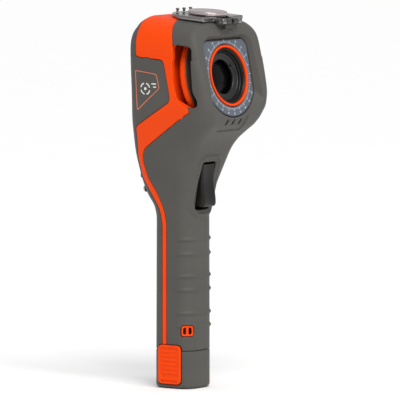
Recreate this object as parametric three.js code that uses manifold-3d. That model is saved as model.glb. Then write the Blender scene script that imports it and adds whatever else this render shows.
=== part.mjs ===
// Thermal imaging camera with a pistol-style vertical handle, a flip-up lens cover,
// a thumb focus wheel, a trigger, a keypad and a slide-out battery.
// Millimetres. +Z is up, the lens faces -Y, the handle's axis is X = Y = 0 and the
// flat underside of the battery is Z = 0.
import * as THREE from 'three';
import { mergeVertices } from 'three/addons/utils/BufferGeometryUtils.js';
import Module from 'manifold-3d';

// ---------- driving dimensions ----------
const WALL = 2.5; // moulded wall
const GAP = 0.3; // between pieces that touch
const BASE_TOP = 27.8; // battery seam
const SHELL_BOTTOM = BASE_TOP + GAP;
const TOP = 274; // crown of the head above the handle's axis
const SHOULDER = 256; // where the head starts to arch over
const ARCH_FLAT = 18; // half of the flat middle of the arch
const ARCH_RADIUS = 25; // sideways radius of the arch's corners
const CROWN_SLOPE = 0.08; // the crown rises towards the rear
const CROWN_PIVOT_Y = -10;
const CROWN_START = 225; // height where that slope begins
// height against half width, front face (-Y) and rear face (+Y)
const HALF_WIDTH = [[0, 17], [126, 17], [133, 17.8], [144, 20.5], [157, 24.5], [173, 29.5],
  [184, 33], [195, 36.5], [203, 38.5], [212, 40], [222, 40.8], [240, 42.2], [SHOULDER, 43]];
const FRONT = [[0, 17.5], [128, 17.5], [140, 18.6], [151, 20.4], [160, 22.8], [169, 25.5],
  [177, 28.4], [184, 33], [190.6, 40], [196, 46], [203, 50.3], [209, 51.8], [215, 51.2],
  [222, 49.9], [290, 36.7]];
const REAR = [[0, 17.5], [124, 17.5], [133, 18.5], [144, 23.4], [157, 26], [173, 26.9],
  [195, 24.9], [215, 22.9], [250, 22.3], [262, 20.8], [290, 18]];
const FRONT_CORNER = [[0, 11], [160, 12], [190, 14], [203, 13], [212, 9], [222, 6], [290, 6]];
const REAR_CORNER = [[0, 11], [160, 12], [290, 12]];
// outer seams on the side, as (Y, Z) from the top down
const FRONT_SEAM = [[-10.5, 300], [-10.5, 274.5], [-13.7, 272.2], [-17.9, 267], [-20.4, 261], [-21, 256.5],
  [-21, 216], [-34, 210], [-34.5, 206.5], [-29.6, 204.5], [12, 178.4], [15, 173.6], [15.9, 167.7],
  [14.2, 156], [8.8, 144.9], [5, 133.4], [3.1, 121.9], [3.1, 10]];
const REAR_SEAM = [[13, 300], [13, 246.6], [-11.5, 245.2], [-13.5, 243], [-17.4, 217.6],
  [-16.5, 213.8], [16.9, 194.3], [18, 184.8], [20.5, 173], [21, 167.5], [20, 155.7],
  [14.6, 144.5], [9.2, 133], [6.7, 121], [6.7, 10]];
// lens axis: its front centre and its upward pitch
const LENS_Y = -43.65;
const LENS_Z = 232.9;
const PITCH = THREE.MathUtils.degToRad(11);
const RIM_W = 4; // bumper's front face along the lens axis
const PANEL_W = -1.5; // lens panel's face
const RECESS_HALF = 31.5;
const WHEEL_R = 38;
const RING_R = 23;
const RING_INNER = 20;
const BARREL_R = 19.5;
const LENS_R = 13;
// cover hinge
const PIN_Y = -43.6;
const PIN_Z = 272.6;
const PIN_R = 1;
const KNUCKLE_R = 2.4;
const KNUCKLE_HALF = 7;
const ARM_W = 4;
const LID_HALF = 25;
const LID_THICK = 3.2;
const LID_TILT = THREE.MathUtils.degToRad(4);
const LID_LOW = -0.6; // underside below the pin's axis
const LID_NOTCH = 10.6; // from the pin's axis
const LID_START = 7;
const LID_ROUND = 22.6; // centre of the lid's round end from the pin
const PAD_R = 14.5;
const PAD_Y = 21.1; // its centre from the pin's axis
const PAD_HEIGHT = 2.9;
// trigger
const TRIGGER_HALF = 8;
const TRIGGER_PIVOT = [-16.5, 163.5];
// rear keys as [name, x, z, half width, half height]
const NAV_Z = 177;
const KEYS = [['key_up', 0, NAV_Z + 11, 5, 3], ['key_down', 0, NAV_Z - 11, 5, 3],
  ['key_left', -11.5, NAV_Z, 3, 5], ['key_right', 11.5, NAV_Z, 3, 5],
  ['key_ok', 0, NAV_Z, 5, 5], ['key_menu', -12.5, 157, 4.2, 2.6], ['key_back', 12.5, 157, 4.2, 2.6],
  ['key_power', 0, 154, 3.6, 3.6]];

const wasm = await Module();
wasm.setup();
const group = new THREE.Group();

// ---------- materials ----------
const paint = (colour, roughness, metalness = 0) => () =>
  new THREE.MeshStandardMaterial({ color: colour, roughness, metalness });
const grey = paint(0x5f5e5a, 0.6);
const orange = paint(0xf4590d, 0.45);
const black = paint(0x2f2d2c, 0.5);
const dark = paint(0x1a1b1d, 0.35);
const dialBlue = paint(0x75808f, 0.5);
const chrome = paint(0xc9c6c6, 0.15, 1);
const steel = paint(0x8d8f92, 0.35, 1);
const germanium = paint(0x23262c, 0.1, 0.6);
const glass = paint(0x0d0f12, 0.05);
const board = paint(0x1f5a3a, 0.6);
const cell = paint(0x3b3f45, 0.6);

// ---------- small tools ----------
const solid = (geometry) => {
  const bare = geometry.clone();
  bare.deleteAttribute('normal');
  bare.deleteAttribute('uv');
  const merged = mergeVertices(bare, 1e-4);
  return new wasm.Manifold(new wasm.Mesh({
    numProp: 3,
    vertProperties: new Float32Array(merged.attributes.position.array),
    triVerts: new Uint32Array(merged.index.array),
  }));
};

const toGeometry = (manifold) => {
  const { vertProperties, triVerts } = manifold.getMesh();
  const geometry = new THREE.BufferGeometry();
  geometry.setAttribute('position', new THREE.BufferAttribute(new Float32Array(vertProperties), 3));
  geometry.setIndex(new THREE.BufferAttribute(new Uint32Array(triVerts), 1));
  geometry.computeVertexNormals();
  return geometry;
};

const add = (name, material, shape, parent = group) => {
  const geometry = shape.isBufferGeometry ? shape : toGeometry(shape);
  const mesh = new THREE.Mesh(geometry, material());
  mesh.name = name;
  parent.add(mesh);
  return mesh;
};

const box = (x0, x1, y0, y1, z0, z1) =>
  new THREE.BoxGeometry(x1 - x0, y1 - y0, z1 - z0)
    .translate((x0 + x1) / 2, (y0 + y1) / 2, (z0 + z1) / 2);

const roundedShape = (x0, x1, y0, y1, r) => {
  const shape = new THREE.Shape();
  shape.moveTo(x0 + r, y0);
  shape.lineTo(x1 - r, y0).absarc(x1 - r, y0 + r, r, -Math.PI / 2, 0);
  shape.lineTo(x1, y1 - r).absarc(x1 - r, y1 - r, r, 0, Math.PI / 2);
  shape.lineTo(x0 + r, y1).absarc(x0 + r, y1 - r, r, Math.PI / 2, Math.PI);
  shape.lineTo(x0, y0 + r).absarc(x0 + r, y0 + r, r, Math.PI, Math.PI * 1.5);
  return shape;
};

const extrude = (shape, low, high, curveSegments = 4) =>
  new THREE.ExtrudeGeometry(shape, { depth: high - low, bevelEnabled: false, curveSegments })
    .translate(0, 0, low);

// maps the local axes of a drawing onto the part's axes
const basis = (a, b, c) => new THREE.Matrix4().makeBasis(
  new THREE.Vector3(...a), new THREE.Vector3(...b), new THREE.Vector3(...c));
const ACROSS = basis([0, 1, 0], [0, 0, 1], [1, 0, 0]); // outline in YZ, depth along X
const REARWARD = basis([-1, 0, 0], [0, 0, 1], [0, 1, 0]); // outline in -XZ, depth along +Y

// outline (Y, Z) extruded along X
const slab = (points, x0, x1) =>
  extrude(new THREE.Shape(points.map(([y, z]) => new THREE.Vector2(y, z))), x0, x1)
    .applyMatrix4(ACROSS);

// lens frame: x is X, y is up in the lens plane and z is outwards along the lens axis
const lensFrame = basis([1, 0, 0], [0, Math.sin(PITCH), Math.cos(PITCH)],
  [0, -Math.cos(PITCH), Math.sin(PITCH)]).setPosition(0, LENS_Y, LENS_Z);
const onLens = (geometry) => geometry.applyMatrix4(lensFrame);

// closed (radius, height) profile turned about the local z axis
const turned = (points, segments = 48) =>
  new THREE.LatheGeometry([...points, points[0]].map(([r, h]) => new THREE.Vector2(r, h)), segments)
    .rotateX(Math.PI / 2);
const ring = (inner, outer, low, high, segments) =>
  turned([[inner, low], [outer, low], [outer, high], [inner, high]], segments);
const rod = (radius, low, high, segments = 24) =>
  new THREE.CylinderGeometry(radius, radius, high - low, segments)
    .rotateX(Math.PI / 2).translate(0, 0, (low + high) / 2);
const rodAcross = (radius, x0, x1, y, z, segments = 20) =>
  rod(radius, x0, x1, segments).rotateY(Math.PI / 2).translate(0, y, z);
const rodRearward = (radius, x, z, y0, y1, segments = 16) =>
  rod(radius, y0, y1, segments).applyMatrix4(REARWARD).translate(x, 0, z);

// ---------- the camera's outer form ----------
// monotone cubic through [height, value] stations
const follow = (stations, z) => {
  const last = stations.length - 1;
  if (z <= stations[0][0]) return stations[0][1];
  if (z >= stations[last][0]) return stations[last][1];
  const slope = (i) => (stations[i + 1][1] - stations[i][1]) / (stations[i + 1][0] - stations[i][0]);
  const tangent = (i) => {
    if (i === 0 || i === last) return 0;
    const [a, b] = [slope(i - 1), slope(i)];
    return a * b <= 0 ? 0 : (2 * a * b) / (a + b);
  };
  const i = stations.findIndex(([height]) => height > z) - 1;
  const span = stations[i + 1][0] - stations[i][0];
  const t = (z - stations[i][0]) / span;
  const [p, q] = [stations[i][1], stations[i + 1][1]];
  return p * (1 + 2 * t) * (1 - t) ** 2 + span * tangent(i) * t * (1 - t) ** 2
    + q * t * t * (3 - 2 * t) + span * tangent(i + 1) * t * t * (t - 1);
};

const halfWidth = (z, inset) => {
  if (z <= SHOULDER) return follow(HALF_WIDTH, z) - inset;
  const rise = Math.min(1, (z - SHOULDER) / (TOP - SHOULDER + 0.5 - inset));
  return ARCH_FLAT + (ARCH_RADIUS - inset) * Math.sqrt(1 - rise * rise);
};

// one horizontal section as a ring of points
const CORNER_STEPS = 5;
const section = (z, inset) => {
  const half = halfWidth(z, inset);
  const points = [];
  const corner = (sideX, y, radius, start) => {
    for (let i = 0; i <= CORNER_STEPS; i += 1) {
      const angle = start + (i / CORNER_STEPS) * Math.PI / 2;
      points.push([sideX * (half - radius) + radius * Math.cos(angle),
        y + radius * Math.sin(angle)]);
    }
  };
  const rearRadius = follow(REAR_CORNER, z) - inset;
  const frontRadius = follow(FRONT_CORNER, z) - inset;
  const rearY = follow(REAR, z) - inset;
  const frontY = -follow(FRONT, z) + inset;
  corner(1, rearY - rearRadius, rearRadius, 0);
  corner(-1, rearY - rearRadius, rearRadius, Math.PI / 2);
  corner(-1, frontY + frontRadius, frontRadius, Math.PI);
  corner(1, frontY + frontRadius, frontRadius, Math.PI * 1.5);
  const lean = CROWN_SLOPE * Math.max(0, z - CROWN_START) / (TOP - CROWN_START);
  return points.map(([x, y]) => [x, y, z + lean * (y - CROWN_PIVOT_Y)]);
};

// rings of points, lowest first, skinned and closed at both ends
const skinned = (rings) => {
  const count = rings[0].length;
  const centre = (points) => points.reduce((sum, p) => sum.map((v, k) => v + p[k] / count), [0, 0, 0]);
  const vertices = [...rings.flat(), centre(rings[0]), centre(rings[rings.length - 1])];
  const index = [];
  const topStart = (rings.length - 1) * count;
  for (let j = 0; j < count; j += 1) {
    const k = (j + 1) % count;
    for (let i = 0; i < rings.length - 1; i += 1) {
      const [low, high] = [i * count, (i + 1) * count];
      index.push(low + j, low + k, high + k, low + j, high + k, high + j);
    }
    index.push(vertices.length - 2, k, j);
    index.push(vertices.length - 1, topStart + j, topStart + k);
  }
  const geometry = new THREE.BufferGeometry();
  geometry.setAttribute('position', new THREE.BufferAttribute(new Float32Array(vertices.flat()), 3));
  geometry.setIndex(index);
  return geometry;
};
const loft = (levels, inset) => skinned(levels.map((z) => section(z, inset)));

const BODY_LEVELS = [60, 100, 126, 133, 140, 147, 155, 163, 171, 178, 184, 189, 194, 199, 204, 210,
  216, 224, 236, 248];
const archLevels = (inset) => [0, 0.3, 0.55, 0.75, 0.88, 0.96, 1]
  .map((t) => SHOULDER + t * (TOP - SHOULDER - inset));
const outerBody = loft([SHELL_BOTTOM, ...BODY_LEVELS, ...archLevels(0)], 0);
const innerBody = loft([SHELL_BOTTOM - 5, ...BODY_LEVELS, ...archLevels(WALL)], WALL);
const shell = solid(outerBody).subtract(solid(innerBody));

// a polyline moved sideways, positive towards +Y for one that runs downwards
const shifted = (path, distance) => path.map((point, i) => {
  const before = path[Math.max(0, i - 1)];
  const after = path[Math.min(path.length - 1, i + 1)];
  const unit = (a, b) => new THREE.Vector2(b[0] - a[0], b[1] - a[1]).normalize();
  const normals = [];
  if (i > 0) normals.push(unit(before, point));
  if (i < path.length - 1) normals.push(unit(point, after));
  const sum = normals.reduce((s, d) => s.add(new THREE.Vector2(-d.y, d.x)), new THREE.Vector2());
  const normal = sum.clone().normalize();
  const stretch = distance / Math.max(0.5, normal.dot(new THREE.Vector2(-normals[0].y, normals[0].x)));
  return [point[0] + normal.x * stretch, point[1] + normal.y * stretch];
});
const FAR = 70;
const between = (frontPath, rearPath) => solid(slab([...frontPath, ...[...rearPath].reverse()], -FAR, FAR));
const frontLimit = [[-FAR, 300], [-FAR, 10]];
const rearLimit = [[FAR, 300], [FAR, 10]];

// ---------- cutters shared by the shells ----------
// side slots over the focus wheel, drawn as (Y, Z)
const SLOT = [[-21, 256.5], [-37.5, 255], [-38, 222], [-42.3, 215.5], [-41.6, 211.5], [-36, 210.3],
  [-21, 217]];
const SLOT_DEPTH_X = 33;
const sideSlots = solid(slab(SLOT, SLOT_DEPTH_X, FAR)).add(solid(slab(SLOT, -FAR, -SLOT_DEPTH_X)));

// arch-shaped opening inside the bumper, in the lens plane
const RECESS_TOP = 28.6;
const RECESS_LOW = -70;
const recessShape = (grow) => roundedShape(-RECESS_HALF - grow, RECESS_HALF + grow,
  RECESS_LOW, RECESS_TOP + grow, 12 + grow);
const BUMPER_BACK = 0.6;
const RECESS_FLOOR = BUMPER_BACK - 0.3;
const SEAT_HOLE_R = 26.5;
const bumperSlice = (grow) => solid(onLens(extrude(
  roundedShape(-60, 60, -26 - grow, 60, 1), BUMPER_BACK - grow, 20)));

// the pin's place in the lens frame, and the relief that takes the cover's pad when it is shut
const PIN_W = -Math.cos(PITCH) * (PIN_Y - LENS_Y) + Math.sin(PITCH) * (PIN_Z - LENS_Z);
const PIN_V = Math.sin(PITCH) * (PIN_Y - LENS_Y) + Math.cos(PITCH) * (PIN_Z - LENS_Z);
const RELIEF_W = 1.2;
const padRelief = () => solid(onLens(rod(PAD_R + 0.7, RELIEF_W, 20, 48)
  .translate(0, PIN_V - PAD_Y, 0)));

const buildBumper = () => {
  const hollow = solid(onLens(extrude(recessShape(0), BUMPER_BACK - 5, 20, 8)));
  return solid(outerBody).intersect(bumperSlice(0)).subtract(hollow).subtract(padRelief());
};

// the chin and panel seat behind the bumper
const PANEL_SEAT_W = PANEL_W - 2;
const PANEL_HALF = 27.3;
const PANEL_TOP = 26.6;
const PANEL_ROUND = 34.8; // its upper corners follow a circle about the lens axis
const PANEL_LOW = 30.3; // and so does its lower end
// rounded square with a round lower end, in the lens plane
const panelBlank = (grow, low, high) => solid(onLens(extrude(
  roundedShape(-PANEL_HALF - grow, PANEL_HALF + grow, -50, PANEL_TOP + grow, 4), low, high)))
  .intersect(solid(onLens(rod(PANEL_ROUND + grow, low - 1, high + 1, 56)))
    .intersect(solid(onLens(box(-40, 40, 0, 40, low - 2, high + 2))))
    .add(solid(onLens(rod(PANEL_LOW + grow, low - 1, high + 1, 56)))));
const panelRecess = () => panelBlank(GAP, PANEL_SEAT_W - GAP, 20);
const ventSlots = () => [-8, 0, 8].map((x) => solid(box(x - 0.8, x + 0.8, -56, -40, 197, 201.5)))
  .reduce((all, one) => all.add(one));

const LANYARD = { x: -13.6, y: -14.1, z: 43, halfWide: 4.4, halfTall: 3.8 };
const atLanyard = (geometry) => geometry.rotateZ(Math.atan2(LANYARD.x, -LANYARD.y))
  .translate(LANYARD.x, LANYARD.y, LANYARD.z);
const lanyardBox = (halfWide, halfTall, depthOut, depthIn) =>
  atLanyard(box(-halfWide, halfWide, -depthOut, depthIn, -halfTall, halfTall));

const TRIGGER_SLOT = { half: TRIGGER_HALF + 0.6, low: 132.5, high: 168 };
const LATCH = { low: 3, high: 31.9, half: 10.2, proud: 0.8, thick: 2.2 };
const latchNotch = (side) => solid(box(Math.min(side * 10, side * 25), Math.max(side * 10, side * 25),
  -LATCH.half - 0.4, LATCH.half + 0.4, SHELL_BOTTOM - 8, LATCH.high + 0.4));

const SCREWS = [[0, 118], [13.5, 147], [-13.5, 147]];
const SCREW_R = 1.3;
const BOSS_END = 13;
const rearAt = (z) => follow(REAR, z);
const boss = ([x, z]) => solid(rodRearward(3, x, z, -17.3, BOSS_END))
  .subtract(solid(rodRearward(SCREW_R + 0.4, x, z, -6, 40)));

const buildFrontHousing = () => {
  const bosses = SCREWS.map(boss).reduce((all, one) => all.add(one));
  const region = between(frontLimit, shifted(FRONT_SEAM, -GAP / 2));
  const seat = solid(onLens(extrude(roundedShape(-60, 60, -37.5, 60, 14),
    PANEL_SEAT_W - GAP - WALL, RECESS_FLOOR, 8)));
  const plate = seat.intersect(solid(outerBody)).subtract(solid(onLens(rod(SEAT_HOLE_R, -30, 10, 40))));
  return shell.intersect(region).add(plate).subtract(panelRecess())
    .add(bosses)
    .subtract(sideSlots)
    .subtract(bumperSlice(GAP).subtract(solid(onLens(extrude(recessShape(-GAP), -30, 0, 8)))))
    .subtract(ventSlots())
    .subtract(solid(box(-TRIGGER_SLOT.half, TRIGGER_SLOT.half, -40, -10, TRIGGER_SLOT.low,
      TRIGGER_SLOT.high)))
    .subtract(solid(lanyardBox(LANYARD.halfWide + GAP, LANYARD.halfTall + GAP, 6, 6)))
    .subtract(latchNotch(1)).subtract(latchNotch(-1));
};

// the bulkhead behind the focus wheel carries the lens barrel
const BULKHEAD = [-31, -28.6];
const buildMidFrame = () => {
  const bulkhead = solid(onLens(extrude(roundedShape(-60, 60, -33, 60, 2), ...BULKHEAD)))
    .subtract(solid(onLens(rod(SEAT_HOLE_R, -40, 10, 40))));
  return shell.add(bulkhead.intersect(solid(outerBody)))
    .intersect(between(shifted(FRONT_SEAM, GAP / 2), shifted(REAR_SEAM, -GAP / 2)))
    .subtract(latchNotch(1)).subtract(latchNotch(-1));
};

const SCREEN = { half: 27.5, low: 199, high: 262 };
const screenCut = (grow, y0, y1) => solid(extrude(
  roundedShape(-SCREEN.half - grow, SCREEN.half + grow, SCREEN.low - grow, SCREEN.high + grow, 4 + grow),
  y0, y1).applyMatrix4(REARWARD));
const keyShape = (halfX, halfZ, grow) => roundedShape(-halfX - grow, halfX + grow,
  -halfZ - grow, halfZ + grow, Math.min(halfX, halfZ) - 0.2 + grow);
const keySolid = ([, x, z, halfX, halfZ], grow, y0, y1) => solid(
  extrude(keyShape(halfX, halfZ, grow), y0, y1, 3).applyMatrix4(REARWARD).translate(x, 0, z));

const buildRearHousing = () => {
  let housing = shell.intersect(between(shifted(REAR_SEAM, GAP / 2), rearLimit))
    .subtract(screenCut(GAP, 10, 40)).subtract(latchNotch(1)).subtract(latchNotch(-1));
  KEYS.forEach((key) => { housing = housing.subtract(keySolid(key, 0.5, 12, 40)); });
  SCREWS.forEach(([x, z]) => {
    housing = housing.subtract(solid(rodRearward(SCREW_R + 0.4, x, z, 5, 40)))
      .subtract(solid(rodRearward(3.1, x, z, rearAt(z) - 1.2, 40)));
  });
  return housing;
};

add('front_housing', grey, buildFrontHousing());
add('mid_frame', orange, buildMidFrame());
add('rear_housing', grey, buildRearHousing());
add('front_bumper', grey, buildBumper());

// ---------- focus wheel and lens ----------
const buildFocusWheel = () => turned([[RING_R - 2, -3.3], [RING_R - 2, -19], [27, -19], [34, -15.5],
  [35.5, -19], [WHEEL_R - 0.6, -19], [WHEEL_R, -18], [WHEEL_R, -14], [WHEEL_R - 0.8, -13],
  [RING_R, -12.5], [RING_R, -3.3]], 56);
const buildLensPanel = () => panelBlank(0, PANEL_SEAT_W, PANEL_W)
  .subtract(solid(onLens(rod(RING_R + 0.4, -10, 10, 48))));
const buildBarrel = () => solid(onLens(ring(LENS_R + 1, BARREL_R, -24, -2.5)))
  .add(solid(onLens(ring(LENS_R + 1, RING_R + 6, -24, -21))))
  .subtract(solid(onLens(box(-1.4, 1.4, LENS_R, LENS_R + 3.4, -4.5, 0))))
  .subtract(solid(onLens(box(-1.4, 1.4, -LENS_R - 3.4, -LENS_R, -4.5, 0))));
const buildGermanium = () => onLens(turned([[0, -15], [LENS_R + 0.6, -15], [LENS_R + 0.6, -12],
  [9, -10.6], [5, -10], [0, -9.8]], 40));

add('focus_wheel', orange, onLens(buildFocusWheel()));
add('focus_trim_ring', orange, onLens(turned([[RING_INNER, -3], [RING_R, -3], [RING_R, 0],
  [RING_R - 0.6, 0.5], [RING_INNER + 0.7, 0.5], [RING_INNER, -0.6]], 56)));
add('lens_panel', dialBlue, buildLensPanel());
add('lens_barrel', black, buildBarrel());
add('germanium_lens', germanium, buildGermanium());
add('lens_retainer', black, onLens(ring(LENS_R - 2.4, LENS_R + 0.6, -9.4, -6.6, 40)));
add('shutter_module', steel, onLens(box(-19, 19, -15, 15, -29, -24.4)));
add('detector_module', dark, onLens(box(-15, 15, -13, 13, -38, -29.4)));

// ---------- display, keypad and boards ----------
const REAR_FACE = 22.2;
add('display_window', glass, screenCut(0, REAR_FACE - 2.6, REAR_FACE - 0.9));
add('display_module', dark, box(-25, 25, 15, REAR_FACE - 3, 200, 260));
add('main_board', board, box(-31, 31, 8.5, 10.1, 190, 252));
add('keypad_board', board, box(-17, 17, 16.5, 18.1, 152, 189));
add('speaker', black, rodRearward(7, -22, 188, 11, 14.5, 24));
const KEY_BACK = 19.8;
const KEY_PROUD = 0.9;
KEYS.forEach((key) => {
  const face = Math.max(rearAt(key[2] - key[4]), rearAt(key[2] + key[4])) + KEY_PROUD;
  add(key[0], key[0] === 'key_ok' ? orange : black, keySolid(key, 0, KEY_BACK, face));
});
SCREWS.forEach(([x, z], i) => {
  const seat = rearAt(z) - 1.2 + GAP;
  add(`housing_screw_${i + 1}`, steel, solid(rodRearward(SCREW_R, x, z, 0, seat + 0.5))
    .add(solid(rodRearward(2.7, x, z, seat, seat + 1.6))));
});

// ---------- hinge block, cover and its pin ----------
const PIN_START = 3.2; // the pin is two stubs, either side of the laser's bore
const PIN_END = 11.2;
const pinBore = (side) => solid(rodAcross(PIN_R + GAP, Math.min(side * (PIN_START - GAP), side * 15),
  Math.max(side * (PIN_START - GAP), side * 15), PIN_Y, PIN_Z));
const BLOCK_LOW = 33.6;
const LASER_V = 38.7;
const LASER_BORE = 1.75;
const buildHingeBlock = () => {
  const body = solid(onLens(box(-KNUCKLE_HALF, KNUCKLE_HALF, BLOCK_LOW, PIN_V, RIM_W + GAP, PIN_W)));
  const knuckle = solid(rodAcross(KNUCKLE_R, -KNUCKLE_HALF, KNUCKLE_HALF, PIN_Y, PIN_Z));
  return body.add(knuckle).subtract(pinBore(1)).subtract(pinBore(-1))
    .subtract(solid(onLens(rod(LASER_BORE, RIM_W, 20, 20).translate(0, LASER_V, 0))));
};
add('hinge_block', grey, buildHingeBlock());
add('hinge_pin_left', steel, rodAcross(PIN_R, PIN_START, PIN_END, PIN_Y, PIN_Z));
add('hinge_pin_right', steel, rodAcross(PIN_R, -PIN_END, -PIN_START, PIN_Y, PIN_Z));
add('laser_module', dark, onLens(rod(LASER_BORE - GAP, RIM_W + GAP, PIN_W + 0.4, 20)
  .translate(0, LASER_V, 0)));

// the cover's own frame: x is X, y runs from the pin to the free end, z is its inner side
const lid = new THREE.Group();
lid.position.set(0, PIN_Y, PIN_Z);
lid.rotation.x = LID_TILT;
group.add(lid);
const lidOutline = () => {
  const shape = new THREE.Shape();
  shape.moveTo(-LID_HALF, LID_START);
  shape.lineTo(-KNUCKLE_HALF - 0.5, LID_START);
  shape.lineTo(-KNUCKLE_HALF - 0.5, LID_NOTCH);
  shape.lineTo(KNUCKLE_HALF + 0.5, LID_NOTCH);
  shape.lineTo(KNUCKLE_HALF + 0.5, LID_START);
  shape.lineTo(LID_HALF, LID_START);
  shape.lineTo(LID_HALF, LID_ROUND);
  shape.absarc(0, LID_ROUND, LID_HALF, 0, Math.PI);
  return shape;
};
const buildCover = () => {
  let cover = solid(extrude(lidOutline(), LID_LOW, LID_LOW + LID_THICK, 14));
  [1, -1].forEach((side) => {
    const inner = side * (KNUCKLE_HALF + 0.5);
    const outer = side * (KNUCKLE_HALF + 0.5 + ARM_W);
    const [x0, x1] = [Math.min(inner, outer), Math.max(inner, outer)];
    cover = cover.add(solid(rodAcross(KNUCKLE_R, x0, x1, 0, 0)))
      .add(solid(box(x0, x1, 0, LID_START + 1, LID_LOW, 2.2)));
  });
  return cover.subtract(solid(rodAcross(PIN_R + GAP, -20, 20, 0, 0)));
};
const LID_FACE = LID_LOW + LID_THICK;
add('lens_cover', chrome, buildCover(), lid);
add('cover_pad', steel, turned([[0, 0], [PAD_R - 0.5, 0], [PAD_R, 0.5], [PAD_R, PAD_HEIGHT - 0.5],
  [PAD_R - 0.5, PAD_HEIGHT], [0, PAD_HEIGHT]], 40).translate(0, PAD_Y, LID_FACE + GAP), lid);
const STUD_Y = 43;
[-8, 0, 8].forEach((x, i) => add(`cover_stud_${i + 1}`, dark, turned([[0, 0], [0.8, 0], [0.8, 1.4],
  [1.4, 1.8], [1.1, 2.6], [0, 2.8]], 14).translate(x, STUD_Y, LID_FACE + GAP), lid));

// ---------- trigger ----------
const [TRIGGER_Y, TRIGGER_Z] = TRIGGER_PIVOT;
const triggerOutline = () => {
  const shape = new THREE.Shape();
  shape.moveTo(-23.4, 166.8);
  shape.quadraticCurveTo(-22.5, 156, -24.2, 148);
  shape.quadraticCurveTo(-25.6, 141, -25.4, 137.2);
  shape.quadraticCurveTo(-25.2, 134.6, -22.6, 134.4);
  shape.lineTo(-16, 135);
  shape.lineTo(-13.5, 150);
  shape.lineTo(-12.6, 163.5);
  shape.quadraticCurveTo(-13.2, 167, -17, 167.3);
  return shape;
};
const buildTrigger = () => solid(extrude(triggerOutline(), -TRIGGER_HALF, TRIGGER_HALF, 5)
  .applyMatrix4(ACROSS)).subtract(solid(rodAcross(1.8, -10, 10, TRIGGER_Y, TRIGGER_Z)));
add('trigger', black, buildTrigger());
add('trigger_pin', steel, rodAcross(1.5, -13.5, 13.5, TRIGGER_Y, TRIGGER_Z));
add('trigger_switch', dark, box(-5, 5, -6.5, 1, 136, 149));
add('trigger_spring', steel, rod(2, 0, 5.2, 14).rotateX(Math.PI / 2).translate(0, -6.9, 152.5));

// ---------- lanyard eye ----------
const buildLanyard = () => solid(lanyardBox(LANYARD.halfWide, LANYARD.halfTall, 0.6, 2.6))
  .subtract(solid(lanyardBox(LANYARD.halfWide - 1.2, LANYARD.halfTall - 1.2, 9, 9)))
  .add(solid(lanyardBox(0.8, LANYARD.halfTall - 0.6, 0.2, 1.8)));
add('lanyard_eye', orange, buildLanyard());

// ---------- battery with its two squeeze latches ----------
const EDGE = 3;
const edgeInset = (z) => (z >= EDGE ? 0 : EDGE - Math.sqrt(EDGE ** 2 - (EDGE - z) ** 2));
const LATCH_BACK = 17 + LATCH.proud - LATCH.thick;
const LATCH_TRAVEL = 1.2;
const buildBase = () => {
  const levels = [0, 0.3, 0.9, 1.8, EDGE, BASE_TOP];
  const pocket = LATCH_BACK - LATCH_TRAVEL - GAP;
  const pockets = [1, -1].map((side) => solid(box(Math.min(side * pocket, side * 25),
    Math.max(side * pocket, side * 25), -LATCH.half - 0.4, LATCH.half + 0.4, LATCH.low - 0.4, 40)));
  return solid(skinned(levels.map((z) => section(z, edgeInset(z) * 0.9))))
    .subtract(pockets[0]).subtract(pockets[1]);
};
const buildLatch = (side) => {
  const face = LATCH_BACK + LATCH.thick;
  return extrude(roundedShape(-LATCH.half, LATCH.half, LATCH.low, LATCH.high, 2.6),
    side > 0 ? LATCH_BACK : -face, side > 0 ? face : -LATCH_BACK).applyMatrix4(ACROSS);
};
const PACK_TOP = 98;
add('battery_base', grey, buildBase());
add('battery_pack', cell, extrude(roundedShape(-11.5, 11.5, -12, 12, 4), BASE_TOP + GAP, PACK_TOP));
add('battery_contacts', black, extrude(roundedShape(-14, 14, -14.4, 14.4, 9.4),
  PACK_TOP + 1, PACK_TOP + 4));
add('latch_right', orange, buildLatch(-1));
add('latch_left', orange, buildLatch(1));

// ---------- side labels ----------
const LABEL = [[13, 236.8], [-6.5, 234.6], [-8.7, 223.7], [13, 206.4]];
const buildLabel = (side) => {
  const levels = [202, 208, 214, 222, 234, 242];
  const skin = solid(loft(levels, -0.8)).subtract(solid(loft([198, ...levels.slice(1, -1), 246], -GAP)));
  return skin.intersect(solid(slab(LABEL, side > 0 ? 20 : -FAR, side > 0 ? FAR : -20)));
};
add('label_right', grey, buildLabel(-1));
add('label_left', grey, buildLabel(1));

export default group;
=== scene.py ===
import math

import bmesh
import bpy
import numpy as np
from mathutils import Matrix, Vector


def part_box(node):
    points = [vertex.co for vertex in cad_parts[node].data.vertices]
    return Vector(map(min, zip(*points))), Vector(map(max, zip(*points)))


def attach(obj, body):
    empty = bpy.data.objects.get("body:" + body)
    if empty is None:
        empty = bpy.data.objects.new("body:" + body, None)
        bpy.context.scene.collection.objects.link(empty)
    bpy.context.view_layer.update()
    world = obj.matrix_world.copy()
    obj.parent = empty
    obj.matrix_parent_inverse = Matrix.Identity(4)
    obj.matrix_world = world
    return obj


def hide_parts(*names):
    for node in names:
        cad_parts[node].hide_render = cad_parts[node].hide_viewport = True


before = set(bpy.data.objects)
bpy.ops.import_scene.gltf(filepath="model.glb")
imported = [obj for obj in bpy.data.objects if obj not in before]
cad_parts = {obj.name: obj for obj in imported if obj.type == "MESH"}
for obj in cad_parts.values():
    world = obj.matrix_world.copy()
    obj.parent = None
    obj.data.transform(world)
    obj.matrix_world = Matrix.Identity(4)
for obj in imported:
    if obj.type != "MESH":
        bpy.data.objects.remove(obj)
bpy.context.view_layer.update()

import openvdb
from mathutils import Matrix, Vector

MM = 0.001
FINE = 0.5  # grid step of the moulded shells, in millimetres
SMALL = 0.28  # grid step of the small pieces
BAND = 3.0  # distances beyond this many millimetres are not needed

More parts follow.
